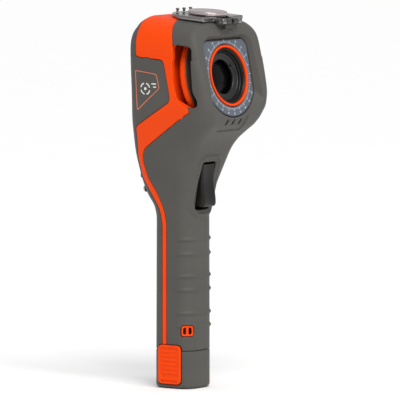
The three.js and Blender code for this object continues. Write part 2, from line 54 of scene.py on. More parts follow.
# ---------- driving dimensions, in millimetres ----------
# Stations are (height, value) pairs; seams, slot and label are (Y, Z) outlines. A name ending
# in _W is measured outwards along the lens axis, and one ending in _UP upwards across it.
WALL = 2.5
TOP = 274.0
SHOULDER = 256.0
ARCH_FLAT = 18.0
ARCH_RADIUS = 25.0
CROWN_SLOPE = 0.08
CROWN_PIVOT_Y = -10.0
CROWN_START = 225.0
EDGE_BLEND = 6.0  # softening where the crown meets the sides
REAR_BLEND = 8.0  # how much softer it is at the rear of the crown
REAR_BLEND_DEPTH = 18.0
REAR_BLEND_RISE = 10.0
HALF_WIDTH = [(0, 17), (126, 17), (133, 17.8), (144, 20.5), (157, 24.5), (173, 29.5), (184, 33),
              (195, 36.5), (203, 38.5), (212, 40), (222, 40.8), (240, 42.2), (SHOULDER, 43)]
FRONT = [(0, 17.5), (128, 17.5), (140, 18.6), (151, 20.4), (160, 22.8), (169, 25.5), (177, 28.4),
         (184, 33), (190.6, 40), (196, 46), (203, 50.3), (209, 51.8), (215, 51.2), (222, 49.9),
         (290, 36.7)]
REAR = [(0, 17.5), (124, 17.5), (133, 18.5), (144, 23.4), (157, 26), (173, 26.9), (195, 24.9),
        (215, 22.9), (250, 22.3), (262, 20.8), (290, 18)]
FRONT_CORNER = [(0, 11), (160, 12), (190, 14), (203, 13), (212, 9), (222, 6), (290, 6)]
REAR_CORNER = [(0, 11), (160, 12), (290, 12)]
FRONT_SEAM = [(-10.5, 300), (-10.5, 274.5), (-13.7, 272.2), (-17.9, 267), (-20.4, 261),
              (-21, 256.5), (-21, 216), (-34, 210), (-34.5, 206.5), (-29.6, 204.5),
              (12, 178.4), (15, 173.6), (15.9, 167.7), (14.2, 156), (8.8, 144.9), (5, 133.4),
              (3.1, 121.9), (3.1, 10)]
REAR_SEAM = [(13, 300), (13, 246.6), (-11.5, 245.2), (-13.5, 243), (-17.4, 217.6),
             (-16.5, 213.8), (16.9, 194.3), (18, 184.8), (20.5, 173), (21, 167.5), (20, 155.7),
             (14.6, 144.5), (9.2, 133), (6.7, 121), (6.7, 10)]
SLOT = [(-21, 256.5), (-37.5, 255), (-38, 222), (-42.3, 215.5), (-41.6, 211.5), (-36, 210.3),
        (-21, 217)]
LABEL = [(13, 236.8), (-6.5, 234.6), (-8.7, 223.7), (13, 206.4)]
SEAM_ROUND = 2.0
SEAM_HALF = 0.12  # half of the gap at a seam
SEAM_EDGE = 0.7
SLOT_ROUND = 3.4
LENS = (0.0, -43.65, 232.9)  # where the lens axis starts, (X, Y, Z)
PITCH = math.radians(11)
BASE_TOP = 27.8
SHELL_BOTTOM = BASE_TOP + 0.35
PANEL_W = -1.5  # the lens panel's face
PIN = (-43.6, 272.6)  # the cover's hinge, (Y, Z)
LID_TILT = math.radians(4)
PAD_Y = 21.1
LID_START = 7.0
PAD_R = 14.5
PIN_UP = math.sin(PITCH) * (PIN[0] - LENS[1]) + math.cos(PITCH) * (PIN[1] - LENS[2])


# ---------- distance fields ----------
class Space:
    """A block of space sampled on a regular grid, in millimetres."""

    def __init__(self, low, high, step):
        x, y, z = [np.arange(a, b + step, step, dtype=np.float32) for a, b in zip(low, high)]
        self.x, self.y, self.z = x[:, None, None], y[None, :, None], z[None, None, :]
        self.low, self.step = np.array([x[0], y[0], z[0]]), step

    def shape(self):
        return (self.x.size, self.y.size, self.z.size)


def smooth_max(a, b, k):
    return np.maximum(a, b) + np.maximum(k - np.abs(a - b), 0) ** 2 / (4 * k)


def smooth_min(a, b, k):
    return np.minimum(a, b) - np.maximum(k - np.abs(a - b), 0) ** 2 / (4 * k)


def round_corner(qx, qy, r):
    """Distance to a corner of radius r; qx and qy are measured from the radius' centre."""
    return np.hypot(np.maximum(qx, 0), np.maximum(qy, 0)) + np.minimum(np.maximum(qx, qy), 0) - r


def rounded_rect(x, y, x0, x1, y0, y1, r):
    """Distance to a rectangle with round corners."""
    return round_corner(np.abs(x - (x0 + x1) / 2) - (x1 - x0) / 2 + r,
                        np.abs(y - (y0 + y1) / 2) - (y1 - y0) / 2 + r, r)


def bezier(start, control, end, steps):
    """Points along a quadratic curve, both ends included."""
    start, control, end = [np.array(p, float) for p in (start, control, end)]
    return [tuple((1 - t) ** 2 * start + 2 * t * (1 - t) * control + t * t * end)
            for t in np.linspace(0, 1, steps)]


def filleted(points, radius, closed=True):
    """An outline whose corners are rounded with short arcs."""
    out = []
    count = len(points)
    for i, p in enumerate(points):
        if not closed and i in (0, count - 1):
            out.append(p)
            continue
        a, b = np.array(points[i - 1], float), np.array(points[(i + 1) % count], float)
        p = np.array(p, float)
        cut_a = min(radius, np.linalg.norm(a - p) * 0.45)
        cut_b = min(radius, np.linalg.norm(b - p) * 0.45)
        start = p + (a - p) / np.linalg.norm(a - p) * cut_a
        end = p + (b - p) / np.linalg.norm(b - p) * cut_b
        out.extend(bezier(start, p, end, 5))
    return out


def polygon(x, y, points):
    """Signed distance to a closed outline, negative inside."""
    x, y = np.broadcast_arrays(x, y)
    nearest = np.full(x.shape, 1e9, np.float32)
    inside = np.zeros(x.shape, bool)
    for (x0, y0), (x1, y1) in zip(points, points[1:] + points[:1]):
        dx, dy = x1 - x0, y1 - y0
        t = np.clip(((x - x0) * dx + (y - y0) * dy) / (dx * dx + dy * dy + 1e-12), 0, 1)
        nearest = np.minimum(nearest, (x - x0 - t * dx) ** 2 + (y - y0 - t * dy) ** 2)
        crosses = (y0 > y) != (y1 > y)
        if dy:
            inside ^= crosses & (x < dx * (y - y0) / dy + x0)
    return np.where(inside, -1, 1) * np.sqrt(nearest)


def table(stations):
    """A monotone cubic through (height, value) stations."""
    zs = [z for z, _ in stations]
    vs = [v for _, v in stations]
    slopes = [(vs[i + 1] - vs[i]) / (zs[i + 1] - zs[i]) for i in range(len(zs) - 1)]
    tangents = [0.0]
    for a, b in zip(slopes, slopes[1:]):
        tangents.append(0.0 if a * b <= 0 else 2 * a * b / (a + b))
    tangents.append(0.0)
    heights = np.arange(0, 300, 0.25)
    values = []
    for z in heights:
        z = min(max(z, zs[0]), zs[-1])
        i = min(max(int(np.searchsorted(zs, z, side="right")) - 1, 0), len(zs) - 2)
        span = zs[i + 1] - zs[i]
        t = (z - zs[i]) / span
        values.append(vs[i] * (1 + 2 * t) * (1 - t) ** 2 + span * tangents[i] * t * (1 - t) ** 2
                      + vs[i + 1] * t * t * (3 - 2 * t) + span * tangents[i + 1] * t * t * (t - 1))
    return lambda z: np.interp(z, heights, values).astype(np.float32)


half_width, front_at, rear_at = table(HALF_WIDTH), table(FRONT), table(REAR)
front_corner, rear_corner = table(FRONT_CORNER), table(REAR_CORNER)


def body(s):
    """Distance to the camera's outer form."""
    lean = CROWN_SLOPE * np.clip(s.z - CROWN_START, 0, None) / (TOP - CROWN_START)
    z = s.z - lean * (s.y - CROWN_PIVOT_Y)
    half = half_width(z)
    across = np.abs(s.x)
    front_r, rear_r = front_corner(z), rear_corner(z)

    plan = np.where(s.y < 0,
                    round_corner(across - half + front_r, -s.y - front_at(z) + front_r, front_r),
                    round_corner(across - half + rear_r, s.y - rear_at(z) + rear_r, rear_r))
    rise = z - SHOULDER
    height = TOP - SHOULDER + 0.5
    side = across - ARCH_FLAT
    qx, qz = np.maximum(side, 0) / ARCH_RADIUS, np.maximum(rise, 0) / height
    level = np.sqrt(qx * qx + qz * qz) + 1e-6
    slope = np.sqrt((qx / ARCH_RADIUS) ** 2 + (qz / height) ** 2) / level + 1e-6
    # below the arch and deep inside it, where its distance is not defined, it is just "inside"
    arch = np.where(rise > -10, (level - 1) / slope, -20)
    arch = np.where(level < 0.3, -15, arch)
    softer = np.clip(s.y / REAR_BLEND_DEPTH, 0, 1) * np.clip(rise / REAR_BLEND_RISE, 0, 1)
    return smooth_max(plan, arch, EDGE_BLEND + REAR_BLEND * softer)


def lens_axes(s):
    """(up, out) coordinates of the tilted lens plane; across is x."""
    y, z = s.y - LENS[1], s.z - LENS[2]
    up = math.sin(PITCH) * y + math.cos(PITCH) * z
    out = -math.cos(PITCH) * y + math.sin(PITCH) * z
    return up, out


def seam(s, path):
    """Distance to a seam line drawn in the side view: negative behind it, towards +Y."""
    line = filleted(path, SEAM_ROUND, closed=False)
    return polygon(s.y, s.z, line + [(90, 10), (90, 300)])


def side_slot(s, inner):
    """The openings for the focus wheel, cut from both sides down to an inner half width."""
    return np.maximum(polygon(s.y, s.z, filleted(SLOT, SLOT_ROUND)), inner - np.abs(s.x))


# ---------- meshes ----------
def linked(name, data):
    """A new object in the scene."""
    obj = bpy.data.objects.new(name, data)
    bpy.context.scene.collection.objects.link(obj)
    return obj


def to_object(name, s, distance):
    """The surface of a distance field as a mesh object, in metres."""
    distance = np.broadcast_to(distance, s.shape())
    block = np.full([n + 2 for n in distance.shape], BAND, np.float32)
    block[1:-1, 1:-1, 1:-1] = np.clip(distance, -BAND, BAND)
    grid = openvdb.FloatGrid(BAND)
    grid.copyFromArray(block)
    points, quads = grid.convertToQuads(0.0)
    points = ((points - 1) * s.step + s.low) * MM
    mesh = bpy.data.meshes.new(name)
    mesh.vertices.add(len(points))
    mesh.vertices.foreach_set("co", points.astype(np.float32).ravel())
    mesh.loops.add(len(quads) * 4)
    mesh.loops.foreach_set("vertex_index", quads[:, ::-1].astype(np.int32).ravel())
    mesh.polygons.add(len(quads))
    mesh.polygons.foreach_set("loop_start", np.arange(len(quads), dtype=np.int32) * 4)
    mesh.polygons.foreach_set("loop_total", np.full(len(quads), 4, np.int32))
    mesh.update(calc_edges=True)
    mesh.validate()
    mesh.shade_smooth()
    return linked(name, mesh)


def node_boxes(prefix):
    """Name, low corner and high corner, in millimetres, of the CAD nodes with a prefix."""
    for name in [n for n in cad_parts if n.startswith(prefix)]:
        low, high = [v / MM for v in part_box(name)]
        yield name, low, high


def finish_piece(obj, look, body_name, slot, *nodes):
    """Give a piece its look and body, in place of the CAD nodes named. The slot is not used."""
    obj.data.materials.clear()
    obj.data.materials.append(look)
    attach(obj, body_name)
    if nodes:
        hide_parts(*nodes)
    return obj


# ---------- materials ----------
GRAIN_SCALE = 900.0
MOTTLE_SCALE = 35.0
ROUGHNESS_SPREAD = 0.05


def material(name, colour, roughness, metallic=0.0, grain=0.0, mottle=0.06, coat=0.0,
             specular=0.5):
    """A principled material with a moulded or machined grain and slight colour variation."""
    mat = bpy.data.materials.new(name)
    mat.use_nodes = True
    nodes, links = mat.node_tree.nodes, mat.node_tree.links
    shader = nodes["Principled BSDF"]
    shader.inputs["Metallic"].default_value = metallic
    shader.inputs["Coat Weight"].default_value = coat
    shader.inputs["Specular IOR Level"].default_value = specular
    coords = nodes.new("ShaderNodeTexCoord")
    broad = nodes.new("ShaderNodeTexNoise")
    broad.inputs["Scale"].default_value = MOTTLE_SCALE
    broad.inputs["Detail"].default_value = 5.0
    links.new(coords.outputs["Object"], broad.inputs["Vector"])
    tint = nodes.new("ShaderNodeValToRGB")
    tint.color_ramp.elements[0].position = 0.3
    tint.color_ramp.elements[1].position = 0.7
    tint.color_ramp.elements[0].color = [c * (1 - mottle) for c in colour] + [1]
    tint.color_ramp.elements[1].color = [min(1, c * (1 + mottle)) for c in colour] + [1]
    links.new(broad.outputs["Fac"], tint.inputs["Fac"])
    links.new(tint.outputs["Color"], shader.inputs["Base Color"])
    rough = nodes.new("ShaderNodeMapRange")
    rough.inputs["To Min"].default_value = roughness - ROUGHNESS_SPREAD
    rough.inputs["To Max"].default_value = roughness + ROUGHNESS_SPREAD
    links.new(broad.outputs["Fac"], rough.inputs["Value"])
    links.new(rough.outputs["Result"], shader.inputs["Roughness"])
    if grain:
        fine = nodes.new("ShaderNodeTexNoise")
        fine.inputs["Scale"].default_value = GRAIN_SCALE
        fine.inputs["Detail"].default_value = 3.0
        links.new(coords.outputs["Object"], fine.inputs["Vector"])
        bump = nodes.new("ShaderNodeBump")
        bump.inputs["Strength"].default_value = grain
        bump.inputs["Distance"].default_value = 0.0002
        links.new(fine.outputs["Fac"], bump.inputs["Height"])
        links.new(bump.outputs["Normal"], shader.inputs["Normal"])
    return mat


GREY = material("grey_plastic", (0.083, 0.079, 0.071), 0.52, grain=0.35, specular=0.2)
ORANGE = material("orange_plastic", (0.86, 0.062, 0.0005), 0.45, grain=0.15, mottle=0.03,
                  specular=0.12)
BLACK = material("black_plastic", (0.0085, 0.0078, 0.007), 0.38, grain=0.25, specular=0.25)
DARK = material("dark_module", (0.012, 0.012, 0.014), 0.30, grain=0.1)
DIAL = material("dial_blue", (0.098, 0.112, 0.136), 0.5, grain=0.15, specular=0.3)
CHROME = material("cover_chrome", (0.235, 0.228, 0.224), 0.16, metallic=1.0, grain=0.05,
                  mottle=0.12)
# the disc is polished metal; its pinkish tint is a painted reflection of pinkish light
PAD = material("cover_disc", (0.56, 0.475, 0.475), 0.26, metallic=1.0, grain=0.08)
STEEL = material("steel", (0.42, 0.42, 0.44), 0.28, metallic=1.0, grain=0.1)
STUD = material("dark_stud", (0.16, 0.15, 0.15), 0.25, metallic=1.0, grain=0.05)
COATING = material("lens_coating", (0.002, 0.002, 0.003), 0.22, grain=0.05, specular=0.12)
GLASS = material("display_glass", (0.004, 0.005, 0.007), 0.07, coat=0.5)
BOARD = material("board_green", (0.015, 0.10, 0.045), 0.45, grain=0.1)
WRAP = material("battery_wrap", (0.05, 0.055, 0.07), 0.42, grain=0.1)
SATIN = material("satin_black", (0.012, 0.012, 0.012), 0.34, grain=0.1, specular=0.35)
RUBBER = material("key_rubber", (0.03, 0.03, 0.032), 0.6, grain=0.4)
MARK = material("mark_white", (0.75, 0.76, 0.76), 0.5, grain=0.1)
LINE = material("line_salmon", (0.62, 0.16, 0.085), 0.5, grain=0.1)
TICK = material("tick_white", (0.62, 0.68, 0.78), 0.5, grain=0.1)
# the hinge block is the housing grey darkened: painted shade where it sits under the cover
HINGE_PAINTED_SHADE = material("hinge_grey_painted_shade", (0.045, 0.043, 0.039), 0.42, grain=0.2, specular=0.35)

# the CAD nodes that stay in the picture; any other one that does is steel
CAD_LOOKS = {
    "trigger_switch": DARK, "detector_module": DARK, "display_module": DARK, "laser_module": DARK,
    "main_board": BOARD, "keypad_board": BOARD, "speaker": BLACK, "battery_pack": WRAP,
    "battery_contacts": BLACK, "germanium_lens": COATING, "display_window": GLASS,
    "hinge_block": HINGE_PAINTED_SHADE,
}


def dress_cad_nodes():
    for name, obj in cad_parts.items():
        obj.data.materials.clear()
        obj.data.materials.append(CAD_LOOKS.get(name, STEEL))


# ---------- moulded shells ----------
RIB_HEIGHTS = [110.6, 99.8, 83.4, 73.2, 56.0, 46.2]
RIB_WIDTH = 1.2
RIB_OUT = 1.15
RIB_END_Y = -7.0
TRIGGER_SLOT = (-8.6, 8.6, 132.5, 168.0)  # X from, X to, Z from, Z to
SURROUND_OUT = 1.5
SURROUND_AWAY = 3.6  # from the trigger slot's edge to the crest around it
SURROUND_WIDTH = 1.4
RECESS_HALF = 28.4  # the recess at the panel's face
RECESS_TOP = 27.6
RECESS_CORNER = 10
RECESS_FLARE = 0.6
RECESS_DISC_R = 31.2  # its lower half is round
RECESS_DISC_FLARE = 1.2
RECESS_FLOOR_W = -3.9
RECESS_EDGE = 1.1
CHANNEL_HALF = 14.0  # the sunk panel on the chin
CHANNEL_TOP_UP = -24
CHANNEL_LOW = 191.6
CHANNEL_DEPTH = 1.3
WHEEL_BORE = 23.5
VENT_X = (-8, 0, 8)
VENT_HALF = 0.95
VENT_LOW, VENT_HIGH = 196.4, 200.8
NOTCH_HALF = 10.6  # the notch around a latch, in the shells and in the battery's foot
NOTCH_LOW, NOTCH_HIGH = 2.6, 32.3
NOTCH_ROUND = 3.0


def recess(s):
    """The tapered pocket inside the bumper, with the lens panel at its floor."""
    up, out = lens_axes(s)
    spread = np.clip(out - PANEL_W, 0, 10)
    half = RECESS_HALF + RECESS_FLARE * spread
    top = RECESS_TOP + RECESS_FLARE * spread
    square = round_corner(np.abs(s.x) - half + RECESS_CORNER, up - top + RECESS_CORNER,
                          RECESS_CORNER)
    disc = np.hypot(s.x, up) - RECESS_DISC_R - RECESS_DISC_FLARE * spread
    disc = np.where(up < 0, disc, -50)
    outline = smooth_max(square, disc, 1.0)
    return smooth_max(outline, RECESS_FLOOR_W - out, 0.8)


def latch_notch(s, top=NOTCH_HIGH, inner=14.0):
    """The notches for both latches, cut down to an inner half width."""
    return np.maximum(rounded_rect(s.y, s.z, -NOTCH_HALF, NOTCH_HALF, NOTCH_LOW, top, NOTCH_ROUND),
                      inner - np.abs(s.x))


def grip_ribs(s):
    """How far the finger ribs stand out of the handle's front."""
    ridge = sum(np.exp(-((s.z - h) / RIB_WIDTH) ** 2) for h in RIB_HEIGHTS)
    return RIB_OUT * ridge * (1 / (1 + np.exp(s.y - RIB_END_Y)))


def trigger_surround(s):
    """How far the edge around the trigger slot stands out."""
    away = rounded_rect(s.x, s.z, *TRIGGER_SLOT, 3.0)
    crest = SURROUND_OUT * np.exp(-((away - SURROUND_AWAY) / SURROUND_WIDTH) ** 2)
    return crest / (1 + np.exp((s.y + 9) / 1.5))


def finish_shell(name, s, piece, look, slot, *nodes):
    """A moulded shell, notched for the latches and cut off above the battery's foot."""
    piece = np.maximum(piece, -latch_notch(s))
    piece = np.maximum(piece, SHELL_BOTTOM - s.z)
    finish_piece(to_object(name, s, piece), look, "housing", slot, *nodes)


def build_front():
    s = Space((-44, -54, 27), (44, 18, 275), FINE)
    outer = body(s) - grip_ribs(s) - trigger_surround(s)
    up, out = lens_axes(s)
    pocket = recess(s)
    hollow = np.maximum(outer + WALL, -(pocket - WALL))
    piece = smooth_max(outer, -pocket, RECESS_EDGE)
    # room for the cover's disc when the cover is shut
    relief = np.maximum(np.hypot(s.x, up - (PIN_UP - PAD_Y)) - PAD_R - 0.7, 1.2 - out)
    piece = smooth_max(piece, -relief, 0.8)
    # the sunk panel between the bumper's limbs on the chin
    channel = np.maximum(np.abs(s.x) - CHANNEL_HALF,
                         np.maximum(up - CHANNEL_TOP_UP, CHANNEL_LOW - s.z))
    channel = np.maximum(channel, -(outer + CHANNEL_DEPTH))
    piece = smooth_max(piece, -channel, 0.35)
    piece = np.maximum(piece, -hollow)
    piece = smooth_max(piece, SEAM_HALF - seam(s, FRONT_SEAM), SEAM_EDGE)
    piece = smooth_max(piece, -side_slot(s, 31.0), 2.0)
    tunnel = np.maximum(np.hypot(s.x, up) - WHEEL_BORE, np.abs(out + 4) - 8)
    piece = np.maximum(piece, -tunnel)
    for x in VENT_X:
        vent = rounded_rect(s.x, s.z, x - VENT_HALF, x + VENT_HALF, VENT_LOW, VENT_HIGH, 0.9)
        piece = smooth_max(piece, -np.maximum(vent, s.y + 40), 0.5)
    pull = np.maximum(rounded_rect(s.x, s.z, *TRIGGER_SLOT, 2.5), s.y + 13)
    piece = smooth_max(piece, -pull, 0.9)
    piece = smooth_max(piece, -lanyard_box(s, 4.7, 4.1, 6, 6), 0.5)
    finish_shell("front_shell", s, piece, GREY, "grey_shell", "front_housing", "front_bumper")


LANYARD = (-13.6, -14.1, 43.0)  # (X, Y, Z)


def lanyard_box(s, half_wide, half_tall, depth_out, depth_in):
    """A rounded block at the lanyard's eye, turned to face the handle's corner."""
    angle = math.atan2(LANYARD[0], -LANYARD[1])
    dx, dy = s.x - LANYARD[0], s.y - LANYARD[1]
    across = dx * math.cos(angle) + dy * math.sin(angle)
    depth = -dx * math.sin(angle) + dy * math.cos(angle)
    flat = rounded_rect(across, s.z, -half_wide, half_wide, LANYARD[2] - half_tall,
                        LANYARD[2] + half_tall, min(1.3, half_wide * 0.9))
    return np.maximum(flat, np.maximum(depth - depth_in, -depth - depth_out))


def build_lanyard():
    s = Space((-19, -19, 38), (-8, -9, 48), SMALL)
    ring = smooth_max(lanyard_box(s, 4.3, 3.7, 0.5, 2.6), -lanyard_box(s, 3.2, 2.6, 9, 9), 0.3)
    bar = lanyard_box(s, 0.85, 3.5, 0.2, 1.8)
    finish_piece(to_object("lanyard_loop", s, smooth_min(ring, bar, 0.4)), ORANGE, "housing",
                 "orange_shell", "lanyard_eye")


LIP_TOP = 2.7  # depths of the tongue behind the seams, below the outer form
LIP_LOW = 3.8
LIP_REACH = 1.8
SCOOP_W = -20.9  # the scoop behind the focus wheel, about the lens axis
SCOOP_DEPTH = 3.9
SCOOP_R = 42
SCOOP_EDGE = 15
SCOOP_THICK = 2.4
SCOOP_BORE = 26.5


def build_mid():
    s = Space((-44, -37, 27), (44, 23, 278), FINE)
    outer = body(s)
    up, out = lens_axes(s)
    radius = np.hypot(s.x, up)
    ahead, behind = seam(s, FRONT_SEAM), seam(s, REAR_SEAM)
    shell = np.maximum(outer, -(outer + LIP_LOW))
    shell = smooth_max(shell, ahead + SEAM_HALF, SEAM_EDGE)
    shell = smooth_max(shell, SEAM_HALF - behind, SEAM_EDGE)
    lip = np.clip((SCOOP_R - radius) / SCOOP_EDGE, 0, 1)
    scoop = out - SCOOP_W + SCOOP_DEPTH * np.sqrt(1 - (1 - lip) ** 2)
    scoop = np.maximum(np.maximum(scoop, -scoop - SCOOP_THICK) * 0.75, SCOOP_BORE - radius)
    scoop = np.maximum(np.maximum(scoop, outer + 0.3), -33 - up)
    # a thin tongue behind both seams, so that no light shows through them
    tongue = np.maximum(outer + LIP_TOP, -(outer + LIP_LOW))
    tongue = np.maximum(tongue, np.maximum(ahead - LIP_REACH, -LIP_REACH - behind))
    shell = np.minimum(shell, np.maximum(tongue, -side_slot(s, 20.0)))
    scoop = np.maximum(scoop, np.minimum(outer + WALL + 0.4, 0.5 - behind))
    piece = np.maximum(smooth_min(shell, scoop, 1.2), outer)
    finish_shell("mid_shell", s, piece, ORANGE, "orange_shell", "mid_frame")


SCREEN = (-27.5, 27.5, 199.0, 262.0)  # X from, X to, Z from, Z to
WING_INSET = 0.6  # how far the rear housing lies in, ahead of WING_REAR_Y and above WING_LOW
WING_REAR_Y = 12
WING_LOW = 195
KEY_GAP = 0.4


def build_rear():
    s = Space((-44, -20, 27), (44, 29, 279), FINE)
    outer = body(s)
    inset = WING_INSET / (1 + np.exp(s.y - WING_REAR_Y))
    outer = outer + inset / (1 + np.exp(np.clip(WING_LOW - s.z, None, 50)))
    piece = np.maximum(outer, -(outer + WALL))
    piece = smooth_max(piece, seam(s, REAR_SEAM) + SEAM_HALF, SEAM_EDGE)
    bezel = np.maximum(rounded_rect(s.x, s.z, *SCREEN, 4.0) - 0.3, 15 - s.y)
    piece = smooth_max(piece, -bezel, 1.2)
    for _, low, high in node_boxes("key_"):
        hole = rounded_rect(s.x, s.z, low.x - KEY_GAP, high.x + KEY_GAP, low.z - KEY_GAP,
                            high.z + KEY_GAP, min(high.x - low.x, high.z - low.z) / 2)
        piece = smooth_max(piece, -np.maximum(hole, 12 - s.y), 0.6)
    for _, low, high in node_boxes("housing_screw"):
        well = np.hypot(s.x - (low.x + high.x) / 2, s.z - (low.z + high.z) / 2)
        piece = smooth_max(piece, -np.maximum(well - 3.1, high.y - 1.9 - s.y), 0.5)
        piece = np.maximum(piece, -np.maximum(well - 1.8, 10 - s.y))
    finish_shell("rear_shell", s, piece, GREY, "grey_shell", "rear_housing")


# ---------- pieces about the lens axis ----------
LENS_FRAME = Matrix(((1, 0, 0, LENS[0] * MM),
                     (0, math.sin(PITCH), -math.cos(PITCH), LENS[1] * MM),
                     (0, math.cos(PITCH), math.sin(PITCH), LENS[2] * MM),
                     (0, 0, 0, 1)))


def plain_object(name, points, faces, smooth=True):
    """A mesh object from points, in metres, and faces."""
    mesh = bpy.data.meshes.new(name)
    mesh.from_pydata(points, [], faces)
    mesh.validate()
    if smooth:
        mesh.shade_smooth()
    return linked(name, mesh)


def tidy_mesh(obj):
    """Merge doubled points and turn every face outwards."""
    bm = bmesh.new()
    bm.from_mesh(obj.data)
    bmesh.ops.remove_doubles(bm, verts=bm.verts, dist=1e-7)
    bmesh.ops.recalc_face_normals(bm, faces=bm.faces)
    bm.to_mesh(obj.data)
    bm.free()
    return obj


def softened(profile, radius):
    """A closed (radius, height) outline with its corners rounded."""
    out = []
    count = len(profile)
    for i in range(count):
        a, p, b = [np.array(profile[j % count], float) for j in (i - 1, i, i + 1)]
        la, lb = np.linalg.norm(a - p), np.linalg.norm(b - p)
        if p[0] < 1e-6 or min(la, lb) < 1e-6:
            out.append(tuple(p))
            continue
        cut = min(radius, la * 0.45, lb * 0.45)
        start, end = p + (a - p) / la * cut, p + (b - p) / lb * cut
        out.extend(bezier(start, p, end, 4))
    return out


def revolve(name, profile, radius, segments=180, shape=None, place=LENS_FRAME):
    """A closed profile of (radius, height) turned about the z axis of a place.

    The profile's corners are softened by radius, and shape(angle, radius, height) may move
    each point to a new (radius, height)."""
    outline = softened(profile, radius)
    count = len(outline)
    points, faces = [], []
    for i in range(segments):
        angle = 2 * math.pi * i / segments
        for r, h in outline:
            if shape:
                r, h = shape(angle, r, h)
            x, y = r * math.cos(angle), r * math.sin(angle)
            points.append(place @ Vector((x * MM, y * MM, h * MM)))
    for i in range(segments):
        j = (i + 1) % segments
        for k in range(count):
            m = (k + 1) % count
            faces.append((i * count + k, j * count + k, j * count + m, i * count + m))
    return tidy_mesh(plain_object(name, points, faces))


WHEEL_RIDGES = 72
RIDGE_DEPTH = 0.22


def build_lens():
    def grip(angle, r, h):
        if r > 37.0 and -18.6 < h < -14.4:
            r -= RIDGE_DEPTH * (0.5 + 0.5 * math.cos(WHEEL_RIDGES * angle))
        return r, h

    wheel = revolve("focus_thumbwheel", [(21.3, -19), (36.4, -19), (37.6, -17.9), (37.95, -16.4),
                                         (37.5, -14.8), (36.4, -13.9), (24.6, -13.9), (22.9, -12.6),
                                         (22.9, -3.3), (21.3, -3.3)],
                    segments=WHEEL_RIDGES * 6, shape=grip, radius=0.5)
    finish_piece(wheel, ORANGE, "focus", "orange_shell", "focus_wheel")
    face = revolve("focus_wheel_face", [(24.9, -13.7), (36.0, -13.7), (36.3, -13.4), (36.0, -13.1),
                                        (24.9, -13.1)], radius=0.15)
    finish_piece(face, GREY, "focus", "grey_shell")
    ring = revolve("focus_ring", [(20.9, -2.9), (22.8, -2.9), (22.8, -1.2), (22.4, -0.8),
                                  (21.3, -1.0), (20.9, -1.5)], radius=0.3)
    finish_piece(ring, ORANGE, "focus", "orange_shell", "focus_trim_ring")
    barrel = revolve("lens_tube", [(17.9, -24), (29, -24), (29, -21), (20.6, -21), (20.6, -2.6),
                                   (20.4, -2.2), (19.8, -2.0), (18.9, -3.2), (18.5, -5.0),
                                   (17.9, -5.4)], radius=0.3)
    finish_piece(barrel, BLACK, "housing", "black_plastic", "lens_barrel")

    def spanner_notches(angle, r, h):
        for centre in (math.radians(32), math.radians(212)):
            off = abs((angle - centre + math.pi) % (2 * math.pi) - math.pi) * r
            if off < 1.3 and r < 16.4 and h > -8.4:
                h = -8.6
        return r, h

    ledge = revolve("lens_ledge", [(12.7, -9.4), (17.8, -9.4), (17.8, -6.2), (16.9, -6.2),
                                   (16.4, -6.7), (14.5, -7.0), (13.2, -7.4), (12.7, -7.9)],
                    segments=360, shape=spanner_notches, radius=0.2)
    finish_piece(ledge, SATIN, "housing", "black_plastic", "lens_retainer")
    build_panel()


PANEL_HALF = 27.3
PANEL_TOP = 26.6
PANEL_R_TOP = 34.8
PANEL_R_LOW = 30.3
PANEL_BORE = 23.4
TICKS = 120
TICK_R = 24.3
TICK_LIFT = 0.05
NUMBERS = 24
NUMBER_R = 28.3
NUMBER_HEIGHT = 1.9
BAR_FACES = ((3, 2, 1, 0), (4, 5, 6, 7), (0, 1, 5, 4), (1, 2, 6, 5), (2, 3, 7, 6), (3, 0, 4, 7))


def build_panel():
    s = Space((-30, -36, -4.2), (30, 26, -1), SMALL)
    square = rounded_rect(s.x, s.y, -PANEL_HALF, PANEL_HALF, -50, PANEL_TOP, 4.0)
    radius = np.hypot(s.x, s.y)
    outline = smooth_max(square, radius - np.where(s.y > 0, PANEL_R_TOP, PANEL_R_LOW), 0.6)
    outline = np.maximum(outline, PANEL_BORE - radius)
    plate = smooth_max(outline, np.abs(s.z + 2.5) - 1.0, 0.6)
    panel = to_object("dial_plate", s, plate)
    panel.data.transform(LENS_FRAME)
    finish_piece(panel, DIAL, "housing", "dial_panel", "lens_panel")
    points, faces = [], []

    def bar(angle, r0, r1, width):
        c, n = math.cos(angle), math.sin(angle)
        base = len(points)
        for h in (PANEL_W - TICK_LIFT, PANEL_W + TICK_LIFT):
            for r, w in ((r0, -width), (r1, -width), (r1, width), (r0, width)):
                x, y = r * c - w * n, r * n + w * c
                points.append(LENS_FRAME @ Vector((x * MM, y * MM, h * MM)))
        faces.extend(tuple(base + i for i in f) for f in BAR_FACES)

    for i in range(TICKS):
        end, width = (26.6, 0.17) if i % 5 == 0 else (25.5, 0.11)
        bar(math.radians(3 * i), TICK_R, end, width)
    ticks = plain_object("dial_ticks", points, faces, smooth=False)
    finish_piece(ticks, TICK, "housing", "dial_panel")
    for i in range(NUMBERS):
        angle = math.radians(15 * i)
        x, y = NUMBER_R * math.cos(angle), NUMBER_R * math.sin(angle)
        if abs(x) > 26.2 or y > 25.4:
            continue  # it would run over the plate's edge
        text = bpy.data.curves.new(f"dial_number_{i}", "FONT")
        text.body = str((i * 5) % 60)  # plain counts, in fives
        text.size = NUMBER_HEIGHT * MM
        text.extrude = TICK_LIFT * MM
        text.align_x = text.align_y = "CENTER"
        number = linked(text.name, text)
        number.matrix_world = LENS_FRAME @ Matrix.Translation((x * MM, y * MM, PANEL_W * MM)) \
            @ Matrix.Rotation(angle - math.pi / 2, 4, "Z")
        finish_piece(number, TICK, "housing", "dial_panel")


